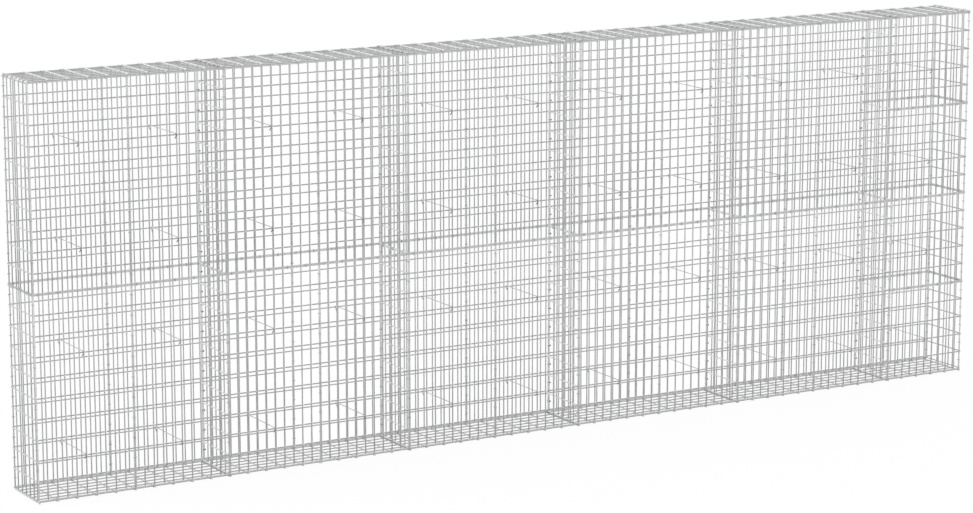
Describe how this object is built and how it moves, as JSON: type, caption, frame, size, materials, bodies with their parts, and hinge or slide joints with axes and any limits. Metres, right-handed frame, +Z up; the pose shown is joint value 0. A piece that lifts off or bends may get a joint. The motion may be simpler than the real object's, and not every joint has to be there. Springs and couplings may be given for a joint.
{
  "type": "gabion wall cage",
  "caption": "Empty welded-wire gabion wall: a tall, narrow zinc-coated mesh cage in bays, with dividers, base, covers and tie hooks, ready to be filled with stone.",
  "frame": {"origin": "On the ground, under the middle of the wall's length and depth.", "axes": "+X along the wall to the short bay at the right, +Y to the back, +Z up."},
  "size_m": [5.5138, 0.3238, 2.0187],
  "materials": {
    "zinc_wire": "satin",
    "zinc_hook": "satin"
  },
  "bodies": {
    "root": {"front_lower_bay_1": "zinc_wire", "front_lower_bay_2": "zinc_wire", "front_lower_bay_3": "zinc_wire", "front_lower_bay_4": "zinc_wire", "front_lower_bay_5": "zinc_wire", "front_upper_bay_1": "zinc_wire", "front_upper_bay_2": "zinc_wire", "front_upper_bay_3": "zinc_wire", "front_upper_bay_4": "zinc_wire", "front_upper_bay_5": "zinc_wire", "front_short_bay": "zinc_wire", "back_lower_bay_1": "zinc_wire", "back_lower_bay_2": "zinc_wire", "back_lower_bay_3": "zinc_wire", "back_lower_bay_4": "zinc_wire", "back_lower_bay_5": "zinc_wire", "back_upper_bay_1": "zinc_wire", "back_upper_bay_2": "zinc_wire", "back_upper_bay_3": "zinc_wire", "back_upper_bay_4": "zinc_wire", "back_upper_bay_5": "zinc_wire", "back_short_bay": "zinc_wire", "left_end": "zinc_wire", "divider_1": "zinc_wire", "divider_2": "zinc_wire", "divider_3": "zinc_wire", "divider_4": "zinc_wire", "divider_5": "zinc_wire", "right_end": "zinc_wire", "base_bay_1": "zinc_wire", "base_bay_2": "zinc_wire", "base_bay_3": "zinc_wire", "base_bay_4": "zinc_wire", "base_bay_5": "zinc_wire", "base_bay_6": "zinc_wire", "cover_bay_1": "zinc_wire", "cover_bay_2": "zinc_wire", "cover_bay_3": "zinc_wire", "cover_bay_4": "zinc_wire", "cover_bay_5": "zinc_wire", "cover_bay_6": "zinc_wire", "tie_hooks_row_1": "zinc_hook", "tie_hooks_row_2": "zinc_hook", "tie_hooks_row_3": "zinc_hook", "tie_hooks_row_4": "zinc_hook"}
  },
  "joints": []
}
